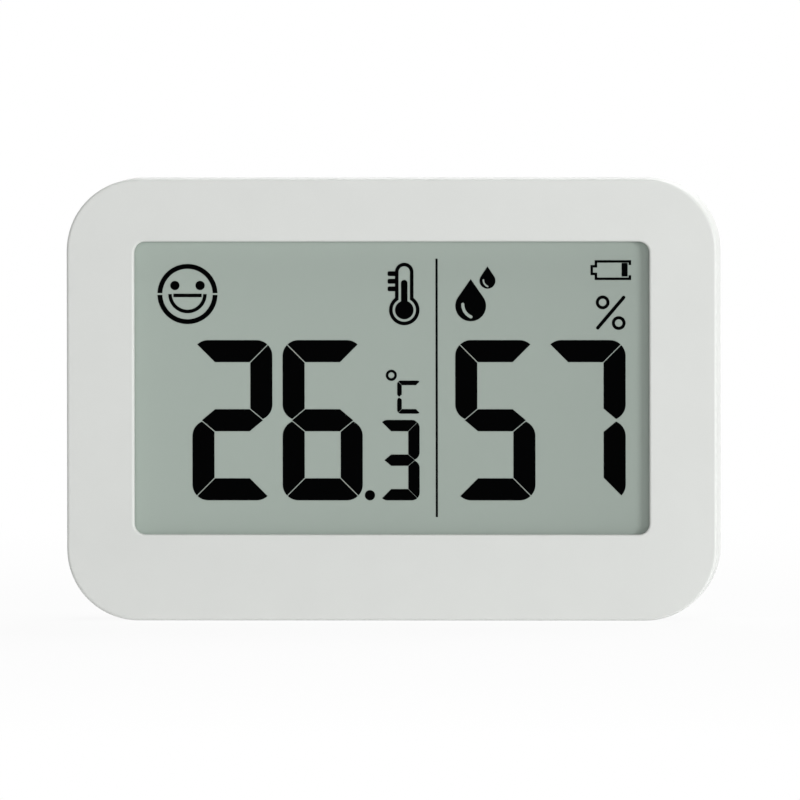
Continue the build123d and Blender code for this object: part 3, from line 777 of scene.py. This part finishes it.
def cut(shape, point, away, keep_both=False):
    """Cuts off what lies on the side of point that away looks to, or only cuts it through."""
    whole = shape.verts[:] + shape.edges[:] + shape.faces[:]
    bmesh.ops.bisect_plane(
        shape, geom=whole, plane_co=(*point, 0), plane_no=(*away, 0), clear_outer=not keep_both
    )


def draw_arc(shape, x, y, radius, start, turn):
    """Spins a vertex round x, y into an arc of edges, and returns its two ends."""
    first = shape.verts.new((x + radius * cos(start), y + radius * sin(start), 0))
    steps = max(2, round(abs(turn) / arc_step))
    spun = bmesh.ops.spin(shape, geom=[first], cent=(x, y, 0), axis=(0, 0, 1), angle=turn, steps=steps)
    last = [item for item in spun["geom_last"] if isinstance(item, bmesh.types.BMVert)][0]
    return first, last


def fill(shape):
    """Fills a drawing of closed outlines and leaves the inner ones open."""
    bmesh.ops.remove_doubles(shape, verts=shape.verts[:], dist=weld_distance)
    bmesh.ops.triangle_fill(shape, use_beauty=True, edges=shape.edges[:])


def stamp(mark, shape, x=0, y=0):
    """Copies a finished shape into a mark, moved to x, y."""
    bmesh.ops.translate(shape, vec=(x, y, 0), verts=shape.verts[:])
    sheet = bpy.data.meshes.new("stamp")
    shape.to_mesh(sheet)
    mark.from_mesh(sheet)
    bpy.data.meshes.remove(sheet)
    shape.free()


print("cuts, outlines and stamps are ready")

# %% [markdown]
# ## From drawing to piece
#
# A drawing lies flat with x to the right and y up. Solidify gives it a thickness, and one matrix
# turns it upright, scales it to metres and moves it onto the display. Because the place goes into
# the mesh, the object stays at the origin, like the solids. A flat sheet would look the same from
# the front, but a closed plate is also sound when it is exported. The back of each mark lies a
# little inside the film, so no gap shows at a shallow angle.

# %% Finish a mark
mark_proud = 0.02
mark_sink = 0.01


def finish_mark(name, mark):
    """Makes a flat drawing a thin plate on the display, which moves with the case."""
    mark.normal_update()
    bmesh.ops.reverse_faces(mark, faces=[face for face in mark.faces if face.normal.z < 0])
    bmesh.ops.solidify(mark, geom=mark.faces[:], thickness=mark_proud + mark_sink)
    bmesh.ops.recalc_face_normals(mark, faces=mark.faces[:])
    upright = Matrix.Rotation(radians(90), 4, "X") @ Matrix.Scale(MM, 4)
    place = Matrix.Translation((0, film_low.y, 0)) @ upright @ Matrix.Translation((0, 0, mark_proud))
    bmesh.ops.transform(mark, matrix=place, verts=mark.verts[:])
    mesh = bpy.data.meshes.new(name)
    mark.to_mesh(mesh)
    mark.free()
    mesh.materials.append(segment_black)
    piece = bpy.data.objects.new(name, mesh)
    bpy.context.scene.collection.objects.link(piece)
    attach(piece, "housing")
    size = piece.dimensions / MM
    print(f"{name}: {len(mesh.polygons)} faces, {size.x:.2f} x {size.z:.2f} mm")


print("marks stand", mark_proud, "mm proud of the film")

# %% [markdown]
# ## Segment digits
#
# A digit is two rounded boxes, one above the other, with seven bars along their sides. The bars
# meet on slanted joints with a hairline gap, because each is an electrode of its own. So each
# segment starts as the rounded box that it belongs to, and is cut by the inner edge of the bar and
# by the joints at its ends. Its place is a pair: -1, 0 or 1 from left to right, and from low to
# high. Only the lit ones are made: the others can't be seen.

# %% Segment digits
tip_share = 0.4
segment_places = {"a": (0, 1), "d": (0, -1), "g": (0, 0)}
segment_places |= {"b": (1, 1), "c": (1, -1), "e": (-1, -1), "f": (-1, 1)}
lit_segments = {"2": "abged", "3": "abgcd", "5": "afgcd", "6": "afgecd", "7": "abc", "C": "afed"}


def cut_joint(shape, inner, outer, keep, gap):
    """Cuts a segment along the line from inner to outer, half a gap towards the part to keep."""
    run = Vector(outer) - Vector(inner)
    away = Vector((-run.y, run.x)).normalized()
    if away.dot(Vector(keep) - Vector(inner)) > 0:
        away = -away
    cut(shape, Vector(inner) - away * gap / 2, away)


def new_segment(place, half_width, half_height, stroke, radius, gap):
    """One segment about the digit's middle, cut where it meets the outer and the middle bars."""
    side, end = place
    inner_x = half_width - stroke
    inner_y = half_height - stroke
    tip_x = half_width - tip_share * stroke
    low = min(0, end * half_height) if end else -stroke / 2
    high = max(0, end * half_height) if end else stroke / 2
    shape = new_box(-half_width, half_width, low, high, radius if end else 0)
    keep_y = end * half_height / 2 if side else end * (half_height - stroke / 2)
    keep = (side * (half_width - stroke / 2), keep_y)
    if side:
        cut(shape, (side * inner_x, 0), (-side, 0))
    elif end:
        cut(shape, (0, end * inner_y), (0, -end))
    joint_sides = (side,) if side else (-1, 1)
    joint_ends = (end,) if end else (-1, 1)
    if end:
        for x in joint_sides:
            corner = (x * half_width, end * half_height)
            cut_joint(shape, (x * inner_x, end * inner_y), corner, keep, gap)
    if side or not end:
        for x in joint_sides:
            for y in joint_ends:
                cut_joint(shape, (x * inner_x, y * stroke / 2), (x * tip_x, 0), keep, gap)
    return shape


def stamp_digit(mark, digit, x, y, width, height, stroke, radius, gap):
    """Stamps the lit segments of one digit whose middle is at x, y."""
    for segment in lit_segments[digit]:
        shape = new_segment(segment_places[segment], width / 2, height / 2, stroke, radius, gap)
        stamp(mark, shape, x, y)


print("lit segments:", lit_segments)

# %% [markdown]
# ## Numbers and divider
#
# The temperature has two large digits, and its tenths are one of half their height, which stands on
# the same baseline behind a point. A digit could be an object by itself, but a number changes as a
# whole, so its digits share a mesh. A thin line divides the temperature from the humidity.

# %% Numbers and divider
large_digit = {"width": 8.63, "height": 17.255, "stroke": 2.375, "radius": 1.7, "gap": 0.095}
digit_middle = 21.521
temperature_places = {"2": -17.226, "6": -7.495}
humidity_places = {"5": 11.113, "7": 20.832}

small_digit = {"width": 4.31, "height": 8.66, "stroke": 1.22, "radius": 0.85, "gap": 0.035}
small_x = 0.795
point_x = -2.409
point_radius = 0.552

divider_x = 4.801
divider_width = 0.232
divider_low = 11.1
divider_high = 38.92

for name, places in (("temperature_digits", temperature_places), ("humidity_digits", humidity_places)):
    number = bmesh.new()
    for digit, x in places.items():
        stamp_digit(number, digit, x, digit_middle, **large_digit)
    finish_mark(name, number)

baseline = digit_middle - large_digit["height"] / 2
tenths = bmesh.new()
stamp_digit(tenths, "3", small_x, baseline + small_digit["height"] / 2, **small_digit)
stamp(tenths, new_disc(point_radius), point_x, baseline + point_radius)
finish_mark("tenths_digit", tenths)

divider = bmesh.new()
stamp(divider, new_box(-divider_width / 2, divider_width / 2, divider_low, divider_high), divider_x)
finish_mark("divider_line", divider)

# %% [markdown]
# ## Signs of the temperature side
#
# A plain smiling face tells whether the air is comfortable, a thermometer marks the temperature
# and a small degree sign its unit. The face's ring is split across its middle, because its two
# halves are separate electrodes. The thermometer's wall needs an outline of arcs inside another,
# since no single ring has its bulb and tube. The unit's letter is made like a digit.

# %% Comfort face
face_x = -22.049
face_z = 35.111
face_radius = 3.24
face_stroke = 0.525
face_gap = 0.19
eye_spread = 1.359
eye_rise = 0.919
eye_radius = 0.499
mouth_radius = 2.072
mouth_stroke = 0.385
lip_half_width = 1.53
lip_low = -0.343
lip_high = 0.036

comfort = bmesh.new()
for end in (-1, 1):
    half_ring = new_ring(face_radius, face_stroke, 0 if end > 0 else pi, pi)
    cut(half_ring, (0, end * face_gap / 2), (0, -end))
    stamp(comfort, half_ring, face_x, face_z)
for side in (-1, 1):
    stamp(comfort, new_disc(eye_radius), face_x + side * eye_spread, face_z + eye_rise)
stamp(comfort, new_ring(mouth_radius, mouth_stroke, pi, pi), face_x, face_z)
stamp(comfort, new_box(-lip_half_width, lip_half_width, lip_low, lip_high), face_x, face_z)
finish_mark("comfort_face", comfort)


# %% Thermometer
def draw_bulb(shape, bulb_radius, tube_radius, tube_end):
    """Draws a bulb at 0, 0 with a round-ended tube above it."""
    opening = asin(tube_radius / bulb_radius)
    right, left = draw_arc(shape, 0, 0, bulb_radius, pi / 2 - opening, 2 * opening - 2 * pi)
    end_left, end_right = draw_arc(shape, 0, tube_end, tube_radius, pi, -pi)
    shape.edges.new((left, end_left))
    shape.edges.new((end_right, right))


bulb_x = 1.317
bulb_z = 33.386
bulb_radius = 1.64
tube_radius = 0.998
tube_end = 4.093
glass_stroke = 0.386
liquid_radius = 1.0
stem_radius = 0.349
stem_end = 2.891
tick_reach = 1.792
tick_width = 0.522
tick_corner_radius = 0.17
tick_start = 2.278
tick_pitch = 0.817
tick_count = 3

thermometer = bmesh.new()
wall = bmesh.new()
draw_bulb(wall, bulb_radius, tube_radius, tube_end)
draw_bulb(wall, bulb_radius - glass_stroke, tube_radius - glass_stroke, tube_end)
fill(wall)
stamp(thermometer, wall, bulb_x, bulb_z)
liquid = bmesh.new()
draw_bulb(liquid, liquid_radius, stem_radius, stem_end)
fill(liquid)
stamp(thermometer, liquid, bulb_x, bulb_z)
for tick in range(tick_count):
    height = tick_start + tick * tick_pitch
    line = new_box(-tick_reach, 0, height - tick_width / 2, height + tick_width / 2, tick_corner_radius)
    cut(line, (-tube_radius, 0), (1, 0))
    stamp(thermometer, line, bulb_x, bulb_z)
finish_mark("thermometer_sign", thermometer)

# %% Degree sign
ring_x = -0.088
ring_z = 26.363
ring_radius = 0.602
ring_stroke = 0.286
letter_x = 1.806
letter_z = 24.009
letter = {"width": 2.541, "height": 3.567, "stroke": 0.497, "radius": 0.4, "gap": 0.03}

degree = bmesh.new()
stamp(degree, new_ring(ring_radius, ring_stroke), ring_x, ring_z)
stamp_digit(degree, "C", letter_x, letter_z, **letter)
finish_mark("celsius_sign", degree)

# %% [markdown]
# ## Signs of the humidity side
#
# Two drops stand for humidity, and a percent sign is its unit. A drop could be a circle with one
# vertex pulled up, but that makes a thin spike. So each drop is an arc with its two ends drawn to a
# tip, where straight lines touch the circle. The glint inside is an outline of its own, so filling
# leaves it open and the display shows through. The percent sign is two rings and a round-ended bar.

# %% Drops
glint_radius_share = 0.87
glint_x_share = 0.357
glint_y_share = 0.09
glint_width_share = 0.205
glint_start = radians(179)
glint_turn = radians(68)


def new_drop(radius, height):
    """A drop about the centre of its round part, with an open glint along its lower left side."""
    shape = bmesh.new()
    opening = acos(radius / height)
    right, left = draw_arc(shape, 0, 0, radius, pi / 2 - opening, 2 * opening - 2 * pi)
    tip = shape.verts.new((0, height, 0))
    shape.edges.new((left, tip))
    shape.edges.new((tip, right))
    glint_radius = glint_radius_share * radius
    half_width = glint_width_share * radius / 2
    x = glint_x_share * radius
    y = glint_y_share * radius
    for side in (-1, 1):
        draw_arc(shape, x, y, glint_radius + side * half_width, glint_start, glint_turn)
    for angle, way in ((glint_start, -pi), (glint_start + glint_turn, pi)):
        end_x = x + glint_radius * cos(angle)
        end_y = y + glint_radius * sin(angle)
        draw_arc(shape, end_x, end_y, half_width, angle, way)
    fill(shape)
    return shape


large_drop_x = 8.473
large_drop_z = 33.827
large_drop_radius = 1.654
large_drop_height = 2.888
small_drop_x = 10.284
small_drop_z = 36.534
small_drop_radius = 0.857
small_drop_height = 1.557

drops = bmesh.new()
stamp(drops, new_drop(large_drop_radius, large_drop_height), large_drop_x, large_drop_z)
stamp(drops, new_drop(small_drop_radius, small_drop_height), small_drop_x, small_drop_z)
finish_mark("drop_signs", drops)

# %% Percent sign
zero_radius = 0.741
zero_stroke = 0.338
zero_places = ((22.684, 34.205), (24.409, 31.981))
slash_start = (22.152, 31.465)
slash_end = (24.948, 34.735)
slash_width = 0.371

percent = bmesh.new()
for x, z in zero_places:
    stamp(percent, new_ring(zero_radius, zero_stroke), x, z)
stamp(percent, new_bar(slash_start, slash_end, slash_width))
finish_mark("percent_sign", percent)

# %% [markdown]
# ## Battery sign
#
# The battery has one bar left. Its wall is a line of even width round a body with a nub, open at
# the far end. It could be put together from strips, but then faces would meet inside it. Insetting
# the whole outline gives the line in one piece: the body is cut through at the nub's lower and
# upper edge, the nub is pulled out of its side, and the face inside the inset goes, with the one at
# the open end.

# %% Battery sign
battery_left = 21.827
battery_right = 25.754
battery_low = 36.605
battery_high = 38.747
nub_left = 21.377
nub_low = 37.128
nub_high = 38.225
line_width = 0.272
bar_left = 24.722
bar_right = 25.375
bar_low = 36.984
bar_high = 38.446


def inside(items, left, right, low, high):
    """The edges or faces whose middle lies in a rectangle."""
    middles = [sum((vert.co for vert in item.verts), Vector()) / len(item.verts) for item in items]
    return [item for item, at in zip(items, middles) if left < at.x < right and low < at.y < high]


battery = bmesh.new()
wall = new_box(battery_left, battery_right, battery_low, battery_high)
for height in (nub_low, nub_high):
    cut(wall, (0, height), (0, 1), keep_both=True)
side = inside(wall.edges[:], nub_left, battery_left + line_width, nub_low, nub_high)
nub = bmesh.ops.extrude_edge_only(wall, edges=side)["geom"]
nub_corners = [item for item in nub if isinstance(item, bmesh.types.BMVert)]
bmesh.ops.translate(wall, vec=(nub_left - battery_left, 0, 0), verts=nub_corners)
bmesh.ops.recalc_face_normals(wall, faces=wall.faces[:])
bmesh.ops.dissolve_faces(wall, faces=wall.faces[:])
middle = wall.faces[:]
bmesh.ops.inset_region(
    wall, faces=middle, thickness=line_width, use_even_offset=True, use_boundary=True
)
opening = inside(wall.faces[:], battery_right - line_width, battery_right, nub_low, nub_high)
bmesh.ops.delete(wall, geom=middle + opening, context="FACES")
stamp(battery, wall)
stamp(battery, new_box(bar_left, bar_right, bar_low, bar_high))
finish_mark("battery_sign", battery)
